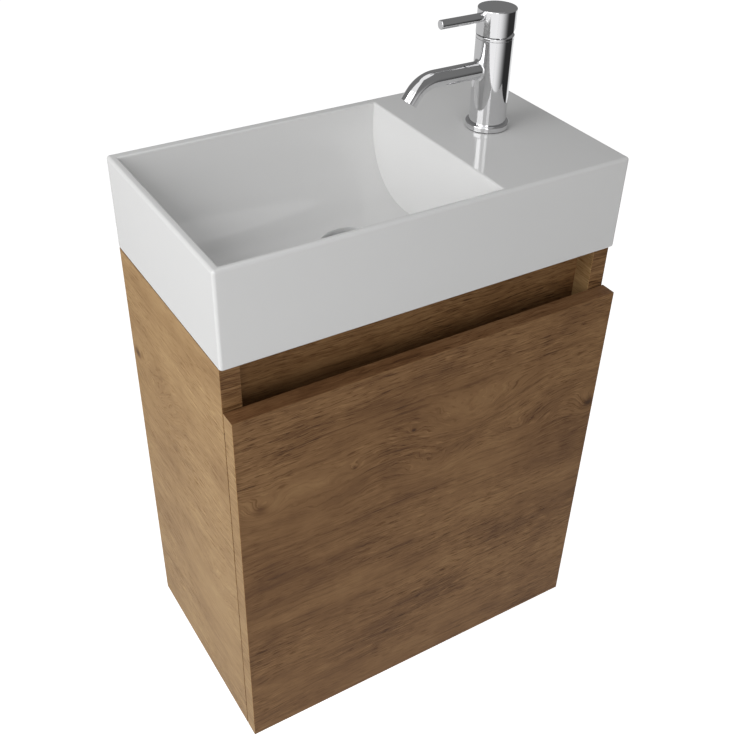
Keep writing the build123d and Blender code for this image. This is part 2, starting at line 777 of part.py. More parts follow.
with BuildPart() as tap_shank:
    rod(at_tap(0, 0, -tap_shank_depth), upward, tap_shank_diameter, shank_length)
    for inlet in inlets:
        inlet_start = at_tap(*inlet, -tap_shank_depth)
        rod(inlet_start, upward, inlet_thread_diameter, shank_length, Mode.SUBTRACT)
    stud_hole = at_tap(0, -stud_offset, -tap_shank_depth)
    rod(stud_hole, upward, stud_diameter, stud_in_body, Mode.SUBTRACT)
pieces["tap_shank"] = tap_shank

tap_plane = Plane(origin=at_tap(0, 0, 0), x_dir=to_right, z_dir=to_front)

with BuildPart() as tap_body:
    body_height = tap_body_top - tap_foot_height
    rod(at_tap(0, 0, tap_foot_height), upward, tap_body_diameter, body_height)
    # The spout runs level to the left and then bends down
    with BuildLine(tap_plane) as spout_line:
        spout_run = Line((0, spout_height), (-spout_straight, spout_height))
        spout_bend = JernArc(spout_run @ 1, spout_run % 1, spout_bend_radius, spout_bend_angle)
        Line(spout_bend @ 1, spout_bend @ 1 + spout_tip_length * (spout_bend % 1))
    with BuildSketch(Plane(origin=spout_line.line @ 0, z_dir=to_left)):
        Circle(spout_diameter / 2)
    sweep(path=spout_line.line)
    root_edges = tap_body.edges().filter_by(GeomType.BSPLINE)
    fillet(root_edges, spout_root_radius)
    # The seat for the cartridge, and a channel up to it from each inlet
    cartridge_seat = at_tap(0, 0, cartridge_bottom)
    seat_bore = cartridge_diameter + 2 * part_clearance
    rod(cartridge_seat, upward, seat_bore, tap_body_top - cartridge_bottom, Mode.SUBTRACT)
    for inlet in inlets:
        channel_start = at_tap(*inlet, tap_foot_height)
        channel_height = cartridge_bottom - tap_foot_height
        rod(channel_start, upward, inlet_channel_diameter, channel_height, Mode.SUBTRACT)
    # The outlet: a riser under the cartridge, then the spout's bore
    riser_height = cartridge_bottom - spout_height
    rod(at_tap(0, 0, spout_height), upward, waterway_diameter, riser_height, Mode.SUBTRACT)
    rod(at_tap(0, 0, spout_height), to_left, waterway_diameter, tap_body_diameter / 2, Mode.SUBTRACT)
    bore_start = tap_body_diameter / 2
    with BuildLine(tap_plane) as bore_line:
        bore_run = Line((-bore_start, spout_height), (-spout_straight, spout_height))
        bore_bend = JernArc(bore_run @ 1, bore_run % 1, spout_bend_radius, spout_bend_angle)
        Line(bore_bend @ 1, bore_bend @ 1 + spout_tip_length * (bore_bend % 1))
    with BuildSketch(Plane(origin=bore_line.line @ 0, z_dir=to_left)):
        Circle(spout_bore / 2)
    sweep(path=bore_line.line, mode=Mode.SUBTRACT)
pieces["tap_body"] = tap_body

tip_direction = spout_line.line % 1
tip_plane = Plane(origin=spout_line.line @ 1 - aerator_length * tip_direction, z_dir=tip_direction)

with BuildPart() as tap_aerator:
    with BuildSketch(tip_plane) as aerator_ring:
        Circle(spout_bore / 2)
        Circle(spout_bore / 2 - aerator_wall, mode=Mode.SUBTRACT)
    extrude(aerator_ring.sketch, amount=aerator_length)
    with BuildSketch(tip_plane.offset(aerator_length / 2)) as aerator_mesh:
        Circle(spout_bore / 2 - aerator_wall)
        Circle(aerator_hole_diameter / 2, mode=Mode.SUBTRACT)
        with PolarLocations(aerator_hole_ring, aerator_hole_count):
            Circle(aerator_hole_diameter / 2, mode=Mode.SUBTRACT)
    extrude(aerator_mesh.sketch, amount=aerator_mesh_thickness)
pieces["tap_aerator"] = tap_aerator

collar_top = tap_body_top + tap_collar_height

with BuildPart() as tap_cartridge:
    turned(
        [
            (0, cartridge_bottom),
            (cartridge_diameter / 2, cartridge_bottom),
            (cartridge_diameter / 2, cartridge_shoulder),
            (cartridge_neck_diameter / 2, cartridge_shoulder),
            (cartridge_neck_diameter / 2, collar_top),
            (carrier_diameter / 2 + running_clearance, collar_top),
            (carrier_diameter / 2 + running_clearance, cartridge_bore_bottom),
            (0, cartridge_bore_bottom),
        ],
        at_tap(0, 0, 0),
    )
pieces["tap_cartridge"] = tap_cartridge

with BuildPart() as tap_cartridge_nut:
    neck_hole = cartridge_neck_diameter + 2 * part_clearance
    nut_height = tap_body_top - cartridge_shoulder
    ring(at_tap(0, 0, cartridge_shoulder), upward, seat_bore, neck_hole, nut_height)
pieces["tap_cartridge_nut"] = tap_cartridge_nut

with BuildPart() as tap_collar:
    rod(at_tap(0, 0, tap_body_top), upward, tap_body_diameter, tap_collar_height)
    fillet(tap_collar.edges().filter_by(GeomType.CIRCLE), tap_collar_radius)
    rod(at_tap(0, 0, tap_body_top), upward, neck_hole, tap_collar_height, Mode.SUBTRACT)
pieces["tap_collar"] = tap_collar

with BuildPart() as tap_carrier:
    carrier_height = collar_top - cartridge_bore_bottom
    rod(at_tap(0, 0, cartridge_bore_bottom), upward, carrier_diameter, carrier_height)
    with BuildSketch(Plane.XY.offset(rim_z + cartridge_bore_bottom)) as carrier_slot:
        with Locations((tap_x, tap_y)):
            Rectangle(stem_slot_length, stem_thickness + 2 * part_clearance)
    extrude(carrier_slot.sketch, amount=carrier_height, mode=Mode.SUBTRACT)
    pin_start = at_tap(0, -stem_pin_length / 2, stem_pivot_height)
    rod(pin_start, to_wall, stem_pin_diameter, stem_pin_length, Mode.SUBTRACT)
pieces["tap_carrier"] = tap_carrier

with BuildPart() as tap_stem_pin:
    rod(pin_start, to_wall, stem_pin_diameter, stem_pin_length)
pieces["tap_stem_pin"] = tap_stem_pin

with BuildPart() as tap_stem:
    stem_x = (tap_x - stem_width / 2, tap_x + stem_width / 2)
    stem_y = (tap_y - stem_thickness / 2, tap_y + stem_thickness / 2)
    block(stem_x, stem_y, (rim_z + stem_bottom, rim_z + stem_top))
    pin_hole = stem_pin_diameter + 2 * running_clearance
    rod(pin_start, to_wall, pin_hole, stem_pin_length, Mode.SUBTRACT)
pieces["tap_stem"] = tap_stem

cap_bottom = collar_top + cap_gap
cap_radius = cap_diameter / 2

with BuildPart() as tap_cap:
    rod(at_tap(0, 0, cap_bottom), upward, cap_diameter, cap_height)
    fillet(tap_cap.faces().sort_by(Axis.Z)[-1].edges(), cap_edge_radius)
    rod(at_tap(0, 0, cap_bottom), upward, cap_cavity_diameter, cap_cavity_height, Mode.SUBTRACT)
    # The right side is cut back at a slope, so that the cap clears the collar when it lifts
    with BuildSketch(tap_plane) as relief:
        relief_rise = cap_diameter * tan(radians(cap_relief_angle))
        with BuildLine():
            Polyline(
                (0, cap_bottom),
                (cap_diameter, cap_bottom),
                (cap_diameter, cap_bottom + relief_rise),
                close=True,
            )
        make_face()
    extrude(relief.sketch, amount=cap_diameter, both=True, mode=Mode.SUBTRACT)
    socket_x = (stem_x[0] - part_clearance, stem_x[1] + part_clearance)
    socket_y = (stem_y[0] - part_clearance, stem_y[1] + part_clearance)
    block(socket_x, socket_y, (rim_z + cap_bottom, rim_z + stem_top), Mode.SUBTRACT)
    lever_root = at_tap(lever_embed - cap_radius, 0, lever_height)
    rod(lever_root, to_left, lever_diameter, cap_radius, Mode.SUBTRACT)
    grub_z = cap_bottom + cap_cavity_height + grub_screw_diameter
    grub_start = at_tap(stem_width / 2, 0, grub_z)
    rod(grub_start, to_right, grub_screw_diameter, cap_radius, Mode.SUBTRACT)
    plug_start = at_tap(cap_radius - index_plug_recess - index_plug_depth, 0, grub_z)
    rod(plug_start, to_right, index_plug_diameter, cap_radius, Mode.SUBTRACT)
pieces["tap_cap"] = tap_cap

with BuildPart() as tap_lever:
    rod(lever_root, to_left, lever_diameter, lever_reach - cap_radius + lever_embed)
    fillet(tap_lever.faces().sort_by(Axis.X)[0].edges(), lever_edge_radius)
pieces["tap_lever"] = tap_lever

with BuildPart() as tap_grub_screw:
    rod(grub_start, to_right, grub_screw_diameter, grub_screw_length)
    socket_start = at_tap(stem_width / 2 + grub_screw_length, 0, grub_z)
    hex_bar(socket_start, to_left, grub_socket_diameter, grub_screw_length / 2, Mode.SUBTRACT)
pieces["tap_grub_screw"] = tap_grub_screw

with BuildPart() as tap_index_plug:
    rod(plug_start, to_right, index_plug_diameter, index_plug_depth)
pieces["tap_index_plug"] = tap_index_plug


# Tap fixing under the deck: stud, rubber pad, steel plate and nut

with BuildPart() as tap_stud:
    rod(at_tap(0, -stud_offset, stud_in_body - tap_shank_depth), downward, stud_diameter, stud_length)
pieces["tap_stud"] = tap_stud


def horseshoe(top, thickness):
    """A disc under the deck with a wide slot towards the wall, for the two hoses."""
    rod(at_tap(0, 0, top), downward, horseshoe_diameter, thickness)
    slot_x = (tap_x - horseshoe_slot / 2, tap_x + horseshoe_slot / 2)
    slot_y = (tap_y - horseshoe_slot_start, tap_y + horseshoe_diameter)
    block(slot_x, slot_y, (rim_z + top - thickness, rim_z + top), Mode.SUBTRACT)
    rod(at_tap(0, -stud_offset, top), downward, stud_diameter, thickness, Mode.SUBTRACT)


with BuildPart() as tap_fixing_pad:
    horseshoe(-deck_thickness, horseshoe_pad)
pieces["tap_fixing_pad"] = tap_fixing_pad

with BuildPart() as tap_fixing_plate:
    horseshoe(-deck_thickness - horseshoe_pad, horseshoe_thickness)
pieces["tap_fixing_plate"] = tap_fixing_plate

with BuildPart() as tap_stud_nut:
    nut_start = at_tap(0, -stud_offset, -deck_thickness - horseshoe_pad - horseshoe_thickness)
    hex_bar(nut_start, downward, stud_nut_width, stud_nut_height)
    rod(nut_start, downward, stud_diameter, stud_nut_height, Mode.SUBTRACT)
pieces["tap_stud_nut"] = tap_stud_nut


# Door and right side panel, with the bores for the hinges

with BuildPart() as door:
    block((-carcass_x, carcass_x), (door_front, door_back), (carcass_bottom, door_top))
    fillet(door.faces().sort_by(Axis.Y)[0].edges(), board_edge_radius)
    for height in hinge_heights:
        cup_start = (cup_x, door_back, height)
        rod(cup_start, to_front, hinge_cup_diameter, hinge_cup_depth, Mode.SUBTRACT)
        for offset in (-cup_screw_from_centre, cup_screw_from_centre):
            hole_start = (cup_screw_x, door_back, height + offset)
            rod(hole_start, to_front, hinge_screw_diameter, hinge_screw_depth, Mode.SUBTRACT)
pieces["door"] = door

with BuildPart() as right_side_panel:
    block((inner_x, carcass_x), (carcass_front, 0), (carcass_bottom, carcass_top))
    fillet(right_side_panel.faces().sort_by(Axis.Y)[0].edges().filter_by(Axis.Z), board_edge_radius)
    side_holes(1)
    for height in hinge_heights:
        for offset in (-plate_screw_from_centre, plate_screw_from_centre):
            hole_start = (inner_x, plate_screw_y, height + offset)
            rod(hole_start, to_right, hinge_screw_diameter, hinge_screw_depth, Mode.SUBTRACT)
pieces["right_side_panel"] = right_side_panel

with BuildPart() as door_bumpers:
    bumper_x = bumper_inset - carcass_x
    for bumper_z in (door_top - bumper_inset, carcass_bottom + bumper_inset):
        rod((bumper_x, door_back, bumper_z), to_wall, bumper_diameter, door_gap - bumper_clearance)
pieces["door_bumpers"] = door_bumpers


# Concealed hinges, two of each piece: cup in the door, arm and plate on the side panel, and
# two links that join them

outer_arm_spot = hinge_spot(outer_link_arm_pivot)
outer_elbow_spot = hinge_spot(outer_link_elbow)
outer_cup_spot = hinge_spot(outer_link_cup_pivot)
inner_arm_spot = hinge_spot(inner_link_arm_pivot)
inner_cup_spot = hinge_spot(inner_link_cup_pivot)
link_hole = hinge_pin_diameter + 2 * running_clearance
wing_back = door_back + hinge_wing_thickness

with BuildPart() as hinge_cups:
    cup_inner = hinge_cup_diameter - 2 * hinge_cup_wall
    wing_x = (carcass_x - hinge_wing_from_edge[1], carcass_x - hinge_wing_from_edge[0])
    ear_x = (carcass_x - hinge_ear_from_edge[1], carcass_x - hinge_ear_from_edge[0])
    for height in hinge_heights:
        cup_start = (cup_x, door_back, height)
        rod(cup_start, to_front, hinge_cup_diameter, hinge_cup_depth)
        wing_z = (height - hinge_wing_half_height, height + hinge_wing_half_height)
        block(wing_x, (door_back, wing_back), wing_z)
        mouth = (cup_x, wing_back, height)
        mouth_depth = hinge_wing_thickness + hinge_cup_depth - hinge_cup_wall
        rod(mouth, to_front, cup_inner, mouth_depth, Mode.SUBTRACT)
        for offset in (-cup_screw_from_centre, cup_screw_from_centre):
            hole_start = (cup_screw_x, wing_back, height + offset)
            rod(hole_start, to_front, hinge_screw_diameter, hinge_wing_thickness, Mode.SUBTRACT)
        for ear_z in layers(height, *hinge_ear_height):
            block(ear_x, (door_back - hinge_cup_depth, door_back), ear_z)
            for spot in (outer_cup_spot, inner_cup_spot):
                upright(spot, hinge_pin_diameter, *ear_z, Mode.SUBTRACT)
pieces["hinge_cups"] = hinge_cups

with BuildPart() as hinge_arms:
    arm_front = [hinge_spot(arm_bend), outer_arm_spot, inner_arm_spot]
    rear_corners = (arm_bend, arm_rear_inner, arm_rear_outer, arm_front_outer)
    arm_rear = [hinge_spot(corner) for corner in rear_corners]
    web_x = (carcass_x - arm_web_from_edge[1], carcass_x - arm_web_from_edge[0])
    web_y = (arm_rear[0][1], arm_rear[1][1])
    for height in hinge_heights:
        for wall_z in layers(height, *arm_wall_height):
            hull_plate(arm_front, arm_wall_width, *wall_z)
            hull_plate(arm_rear, arm_wall_width, *wall_z)
            for spot in (outer_arm_spot, inner_arm_spot):
                upright(spot, hinge_pin_diameter, *wall_z, Mode.SUBTRACT)
        block(web_x, web_y, (height - arm_wall_height[1], height + arm_wall_height[1]))
        hole_start = (web_x[0], arm_screw_y, height)
        web_thickness = web_x[1] - web_x[0]
        rod(hole_start, to_right, arm_screw_diameter, web_thickness, Mode.SUBTRACT)
pieces["hinge_arms"] = hinge_arms

with BuildPart() as hinge_plates:
    plate_y = [carcass_front - ahead for ahead in reversed(hinge_plate_ahead)]
    for height in hinge_heights:
        plate_z = (height - hinge_plate_half_height, height + hinge_plate_half_height)
        block_z = (height - hinge_block_half_height, height + hinge_block_half_height)
        block((hinge_base_x, inner_x), plate_y, plate_z)
        block((web_x[1], hinge_base_x), plate_y, block_z)
        for offset in (-plate_screw_from_centre, plate_screw_from_centre):
            hole_start = (hinge_base_x, plate_screw_y, height + offset)
            rod(hole_start, to_right, hinge_screw_diameter, hinge_plate_thickness, Mode.SUBTRACT)
        hole_start = (web_x[1], arm_screw_y, height)
        rod(hole_start, to_right, arm_screw_diameter, arm_screw_length, Mode.SUBTRACT)
pieces["hinge_plates"] = hinge_plates

with BuildPart() as hinge_outer_links:
    for height in hinge_heights:
        for link_z in layers(height, *outer_link_height):
            hull_plate([outer_arm_spot, outer_elbow_spot], outer_link_width, *link_z)
            hull_plate([outer_elbow_spot, outer_cup_spot], outer_link_width, *link_z)
            for spot in (outer_arm_spot, outer_cup_spot):
                upright(spot, link_eye_diameter, *link_z)
                upright(spot, link_hole, *link_z, Mode.SUBTRACT)
pieces["hinge_outer_links"] = hinge_outer_links

with BuildPart() as hinge_inner_links:
    for height in hinge_heights:
        link_z = (height - inner_link_half_height, height + inner_link_half_height)
        hull_plate([inner_arm_spot, inner_cup_spot], inner_link_width, *link_z)
        upright(inner_arm_spot, link_eye_diameter, *link_z)
        upright(inner_arm_spot, link_hole, *link_z, Mode.SUBTRACT)
pieces["hinge_inner_links"] = hinge_inner_links

with BuildPart() as hinge_arm_pins:
    for height in hinge_heights:
        for spot in (outer_arm_spot, inner_arm_spot):
            pin_z = (height - arm_wall_height[1], height + arm_wall_height[1])
            upright(spot, hinge_pin_diameter, *pin_z)
pieces["hinge_arm_pins"] = hinge_arm_pins

with BuildPart() as hinge_cup_pins:
    for height in hinge_heights:
        pin_z = (height - hinge_ear_height[1], height + hinge_ear_height[1])
        upright(outer_cup_spot, hinge_pin_diameter, *pin_z)
        for stub_z in layers(height, cup_pin_stub_start, hinge_ear_height[1]):
            upright(inner_cup_spot, hinge_pin_diameter, *stub_z)
pieces["hinge_cup_pins"] = hinge_cup_pins


def screw(start, direction, diameter, length):
    """A screw from the underside of its round head, along a direction."""
    rod(start, direction, diameter, length)
    backwards = tuple(-step for step in direction)
    rod(start, backwards, hinge_screw_head, hinge_screw_head_height)


with BuildPart() as hinge_plate_screws:
    for height in hinge_heights:
        for offset in (-plate_screw_from_centre, plate_screw_from_centre):
            under_head = (hinge_base_x, plate_screw_y, height + offset)
            plate_screw_length = hinge_plate_thickness + hinge_screw_depth
            screw(under_head, to_right, hinge_screw_diameter, plate_screw_length)
        arm_under_head = (web_x[0], arm_screw_y, height)
        arm_screw_reach = web_thickness + arm_screw_length
        screw(arm_under_head, to_right, arm_screw_diameter, arm_screw_reach)
pieces["hinge_plate_screws"] = hinge_plate_screws

with BuildPart() as hinge_cup_screws:
    for height in hinge_heights:
        for offset in (-cup_screw_from_centre, cup_screw_from_centre):
            under_head = (cup_screw_x, wing_back, height + offset)
            cup_screw_length = hinge_wing_thickness + hinge_screw_depth
            screw(under_head, to_front, hinge_screw_diameter, cup_screw_length)
pieces["hinge_cup_screws"] = hinge_cup_screws


os.makedirs("parts", exist_ok=True)
for name, piece in pieces.items():
    piece.part.label = name
    export_step(piece.part, f"parts/{name}.step")
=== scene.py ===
"""A wall-hung vanity unit: its finishes, the trap's grips and a studio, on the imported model."""

import bpy
import numpy as np
from bpy.props import FloatProperty, FloatVectorProperty, IntProperty, PointerProperty
from mathutils import Euler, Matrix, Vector


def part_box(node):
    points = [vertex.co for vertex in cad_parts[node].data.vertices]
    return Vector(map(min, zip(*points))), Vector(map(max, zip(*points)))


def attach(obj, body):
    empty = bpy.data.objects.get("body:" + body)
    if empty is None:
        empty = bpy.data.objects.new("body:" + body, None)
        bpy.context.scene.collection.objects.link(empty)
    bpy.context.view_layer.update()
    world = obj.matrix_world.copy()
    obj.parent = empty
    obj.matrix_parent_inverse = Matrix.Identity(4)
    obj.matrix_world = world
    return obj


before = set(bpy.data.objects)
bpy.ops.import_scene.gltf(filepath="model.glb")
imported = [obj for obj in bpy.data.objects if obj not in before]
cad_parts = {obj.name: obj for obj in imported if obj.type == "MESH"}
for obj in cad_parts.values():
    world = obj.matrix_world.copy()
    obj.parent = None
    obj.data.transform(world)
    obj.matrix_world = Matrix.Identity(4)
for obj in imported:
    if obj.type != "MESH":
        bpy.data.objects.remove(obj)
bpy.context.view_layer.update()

bl_info = {
    "name": "Wall-hung vanity unit",
    "version": (1, 0, 0),
    "blender": (4, 5, 0),
    "location": "3D View > Sidebar > Vanity",
    "description": "Finishes a ceramic basin, its tap, waste and trap, and its oak cabinet",
    "category": "Object",
}

SIDES = ("left_side_panel", "right_side_panel")
INNER_BOARDS = ("bottom_panel", "upper_back_rail", "lower_back_rail", "front_fascia", "shelf")
TRAP_SHELLS = ("inlet_nut", "dip_tube", "neck_nut", "bottle", "cup", "outlet_nut", "outlet_pipe")
TAP_STEEL = ("stud", "fixing_plate", "stud_nut", "grub_screw", "stem_pin", "stem")
STEEL = (0.6, 0.6, 0.59)

# Figures in the oak: centre along and across, length, width and rise, in metres
SIDE_FIGURES = ((-0.05, -0.09, 0.05, 0.035, 0.03), (-0.16, -0.26, 0.08, 0.05, 0.03))
DOOR_FIGURES = (
    (0.045, -0.085, 0.055, 0.026, 0.026),
    (0.0, -0.13, 0.04, 0.022, 0.02),
    (0.10, -0.128, 0.035, 0.018, 0.016),
    (-0.12, -0.125, 0.055, 0.03, 0.02),
)
# Knots: centre along and across, length and width, in metres
SIDE_KNOTS = ((-0.012, -0.07, 0.007, 0.005),)
DOOR_KNOTS = (
    (-0.178, -0.107, 0.007, 0.006),
    (0.193, -0.131, 0.006, 0.006),
    (-0.0233, -0.0801, 0.0022, 0.0018),
    (-0.085, -0.098, 0.0025, 0.002),
)
# The side panels' front and back edges have a coarse, strong grain
SIDE_EDGE_GRAIN = 4.5


# Finishes


class Nodes:
    """Adds nodes to a node tree, with their inputs set or linked."""

    def __init__(self, tree):
        self.tree = tree

    def node(self, kind, inputs=None, **settings):
        """Adds a node, sets its options, then sets or links each of its inputs."""
        made = self.tree.nodes.new(kind)
        for key, value in settings.items():
            setattr(made, key, value)
        for key, value in (inputs or {}).items():
            self.feed(made.inputs[key], value)
        return made

    def feed(self, socket, value):
        if isinstance(value, bpy.types.NodeSocket):
            self.tree.links.new(value, socket)
        elif socket.type == "RGBA":
            socket.default_value = (*value[:3], 1.0)
        else:
            socket.default_value = value

    def math(self, operation, *values, clamp=False):
        inputs = dict(enumerate(values))
        return self.node("ShaderNodeMath", inputs, operation=operation, use_clamp=clamp).outputs[0]

    def blend(self, share, first, second):
        """A number between two numbers, by share."""
        return self.node("ShaderNodeMix", {0: share, 2: first, 3: second}).outputs[0]

    def tint(self, share, first, second):
        """A colour between two colours, by share."""
        inputs = {0: share, 6: first, 7: second}
        return self.node("ShaderNodeMix", inputs, data_type="RGBA").outputs[2]

    def span(self, value, low, high, start=0.0, end=1.0, soft=True):
        """Maps low to high onto start to end, and holds the ends."""
        curve = "SMOOTHSTEP" if soft else "LINEAR"
        ends = {0: value, 1: low, 2: high, 3: start, 4: end}
        return self.node("ShaderNodeMapRange", ends, interpolation_type=curve).outputs[0]

    def stretch(self, place, scale):
        inputs = {0: place, 1: scale}
        return self.node("ShaderNodeVectorMath", inputs, operation="MULTIPLY").outputs[0]

    def noise(self, place, scale, detail, roughness):
        """Soft noise from 0 to 1; scale is cells per metre, or one such number for each axis."""
        if not isinstance(scale, (int, float)):
            place = self.stretch(place, scale)
            scale = 1.0
        inputs = {"Vector": place, "Scale": scale, "Detail": detail, "Roughness": roughness}
        return self.node("ShaderNodeTexNoise", inputs).outputs[0]

    def parts(self, place):
        return self.node("ShaderNodeSeparateXYZ", {0: place}).outputs

    def join(self, x, y, z):
        return self.node("ShaderNodeCombineXYZ", {0: x, 1: y, 2: z}).outputs[0]

    def seen_directly(self):
        """1 for camera, glossy and transmitted rays, else 0."""
        path = self.node("ShaderNodeLightPath").outputs
        seen = self.math("MAXIMUM", path["Is Camera Ray"], path["Is Glossy Ray"])
        return self.math("MAXIMUM", seen, path["Is Transmission Ray"])


class Finish(Nodes):
    """A procedural material while it is made: its node tree, its main shader and object space."""

    def __init__(self, name):
        self.material = bpy.data.materials.new(name)
        self.material.use_nodes = True
        super().__init__(self.material.node_tree)
        self.shader = self.tree.nodes["Principled BSDF"]
        self.space = self.node("ShaderNodeTexCoord").outputs

    def bump(self, height, strength, depth):
        """Joins a height pattern to the shader's normal; depth is in metres."""
        inputs = {"Height": height, "Strength": strength, "Distance": depth}
        self.feed(self.shader.inputs["Normal"], self.node("ShaderNodeBump", inputs).outputs[0])

    def set(self, **values):
        """Sets or links the main shader's inputs; an underscore stands for a space."""
        names = {i.name.lower().replace(" ", "_"): i for i in self.shader.inputs}
        for name, value in values.items():
            self.feed(names[name], value)


OAK_PATTERNS = {
    # Cells per metre along and across the board, and a share of the board's seed; then the
    # noise's octaves and roughness
    "drift": ((2.2, 7.0, 1.0), 2.0, 0.55),
    "ripple": ((19.0, 52.0, 1.0), 3.0, 0.55),
    "waver": ((58.0, 84.0, 1.0), 2.0, 0.55),
    "fading": ((9.0, 80.0, 4.0), 2.0, 0.55),
    "bands": ((3.0, 60.0, 1.0), 4.0, 0.65),
    "cloud": ((9.0, 17.0, 1.0), 4.0, 0.6),
    "fibre": ((17.0, 480.0, 1.0), 4.0, 0.7),
    "sites": ((5.0, 11.0, 3.0), 2.0, 0.55),
    "pores": ((62.0, 760.0, 1.0), 2.0, 0.55),
    # The next pattern makes bright specks along the grain: painted glints
    "painted_glints": ((55.0, 700.0, 7.0), 2.0, 0.55),
}
# How far each pattern pushes the tone up or down, from its usual level
OAK_LEVEL = 0.6
OAK_WEIGHTS = {
    "cloud": 1.1, "bands": 0.5, "fibre": 0.95, "late": -0.18, "pores": -0.32, "painted_glints": 0.3,
}
# Side faces keep this share of the tone's contrast, round this tone: part of their painted lit
# look
SIDE_CONTRAST, SIDE_LEVEL = 0.55, 0.57
KNOT_DEPTH = -0.6
# The lines bend round a knot over this many of its lengths and widths, and rise by this many
# of its widths
KNOT_REACH, KNOT_RISE = (3.2, 2.6), 3.0
# A face looks along an axis where its normal's part along it is over this
FACING = 0.6
# Four shades of one wood, from its pores to its brightest painted glint: the tone at which each is
# reached, and what it multiplies the colour's red, green and blue by
SHADES = (
    (0.08, (0.3, 0.26, 0.24)),
    (0.36, (0.66, 0.6, 0.54)),
    (0.56, (1.0, 1.0, 1.0)),
    (0.92, (1.5, 1.66, 1.85)),
)


def oak(name, look, seed, figures=(), knots=(), edge_grain=1.0):
    """Oak decor with level grain.

    Along and across are read from the way a face looks: front and back faces run along X and
    across Z, side faces along Y and across Z, top faces along X and across Y. A slow noise bends
    the across value, each figure adds a bell to it and makes it waver, and each knot adds a
    narrow bell, so that the level lines close round them. Rings are thin bands of that height.
    Pores and painted glints (bright specks of painted highlight) are thresholded noise, stretched
    along the same lines. On faces to the front and back the fibres are edge_grain times as strong.
    """
    finish = Finish(name)
    x, y, z = finish.parts(finish.space["Object"])
    facing = [finish.math("ABSOLUTE", part) for part in finish.parts(finish.space["Normal"])]
    to_side, to_top = [finish.math("GREATER_THAN", facing[i], FACING) for i in (0, 2)]
    along = finish.blend(to_side, x, y)
    across = finish.blend(to_top, z, y)
    board = finish.join(along, across, seed)

    def pattern(kind, place):
        return finish.noise(place, *OAK_PATTERNS[kind])

    def centred(noise):
        """The noise, moved to lie round 0."""
        return finish.math("SUBTRACT", noise, 0.5)

    def bell(centre_along, centre_across, length, width):
        """exp(-(a / length)^2 - (c / width)^2), for the distances a and c from the centre."""
        a = finish.math("DIVIDE", finish.math("SUBTRACT", along, centre_along), length)
        c = finish.math("DIVIDE", finish.math("SUBTRACT", across, centre_across), width)
        spread = finish.math("MULTIPLY_ADD", c, c, finish.math("MULTIPLY", a, a))
        return finish.math("EXPONENT", finish.math("MULTIPLY", spread, -1.0))

    # The height whose level lines the grain follows
    ripple = pattern("ripple", board)
    height = finish.math("MULTIPLY_ADD", pattern("drift", board), look.ring_drift, across)
    height = finish.math("MULTIPLY_ADD", ripple, look.ring_ripple, height)
    figured = 0.0
    for *place_and_size, rise in figures:
        hill = bell(*place_and_size)
        height = finish.math("MULTIPLY_ADD", hill, rise, height)
        figured = finish.math("MAXIMUM", figured, hill)
    waver = finish.math("MULTIPLY", figured, centred(pattern("waver", board)))
    height = finish.math("MULTIPLY_ADD", waver, look.figure_waver, height)
    dark_spots = 0.0
    for *centre, length, width in knots:
        around = bell(*centre, KNOT_REACH[0] * length, KNOT_REACH[1] * width)
        height = finish.math("MULTIPLY_ADD", around, KNOT_RISE * width, height)
        heart = bell(*centre, length, width)
        dark_spots = finish.math("MAXIMUM", dark_spots, heart)
    dark_spots = finish.math("MULTIPLY", dark_spots, finish.span(ripple, 0.25, 0.6, 0.55, 1.0))

    # Patterns along the lines, fainter where the sites noise is low and inside figures
    lines = finish.join(along, height, seed)
    rings = finish.math("PINGPONG", finish.math("MULTIPLY", height, look.rings_per_metre), 1.0)
    fading = finish.span(pattern("fading", lines), 0.45, 0.62)
    fibre = pattern("fibre", lines)
    sites = finish.span(pattern("sites", board), 0.36, 0.62, 0.4, 1.1)
    sites = finish.math("MULTIPLY", sites, finish.math("MULTIPLY_ADD", figured, -0.45, 1.0))
    fibre_share = finish.math("MULTIPLY", sites, finish.blend(to_side, edge_grain, 1.0))
    pores = finish.math("MULTIPLY", finish.span(pattern("pores", lines), 0.54, 0.64), sites)
    # Bright specks along the grain that lift the tone: painted glints
    painted_glints = finish.math("MULTIPLY", finish.span(pattern("painted_glints", lines), 0.55, 0.66), sites)
    pushes = {
        "cloud": centred(pattern("cloud", board)),
        "bands": centred(pattern("bands", lines)),
        "fibre": finish.math("MULTIPLY", centred(fibre), fibre_share),
        "late": finish.math("MULTIPLY", finish.span(rings, 0.55, 1.0), fading),
        "pores": pores,
        "painted_glints": painted_glints,
    }
    tone = OAK_LEVEL
    for kind, push in pushes.items():
        tone = finish.math("MULTIPLY_ADD", push, OAK_WEIGHTS[kind], tone)
    tone = finish.blend(finish.blend(to_side, 1.0, SIDE_CONTRAST), SIDE_LEVEL, tone)
    tone = finish.math("MULTIPLY_ADD", dark_spots, KNOT_DEPTH, tone)

    def coloured(colour):
        ramp = finish.node("ShaderNodeValToRGB", {0: tone})
        stops = ramp.color_ramp.elements
        for place, factors in SHADES:
            stop = stops.new(place)
            stop.color = (*np.multiply(colour, factors), 1.0)
        stops.remove(stops[-1])
        stops.remove(stops[0])
        return ramp.outputs[0]

    # Side faces take the lighter copy of the oak and fronts the darker one: painted light and
    # painted shade, by where each face looks
    colour = finish.tint(to_side, coloured(look.shaded_front_colour), coloured(look.lit_side_colour))
    colour = finish.tint(to_top, colour, coloured(look.top_colour))
    relief = finish.math("SUBTRACT", finish.math("MULTIPLY", fibre, 0.4), pores)
    finish.bump(relief, look.pore_relief, 0.0002)
    rough = finish.math("MULTIPLY_ADD", pores, 0.12, 0.58)
    finish.set(base_color=colour, roughness=rough, specular_ior_level=0.18)
    return finish.material


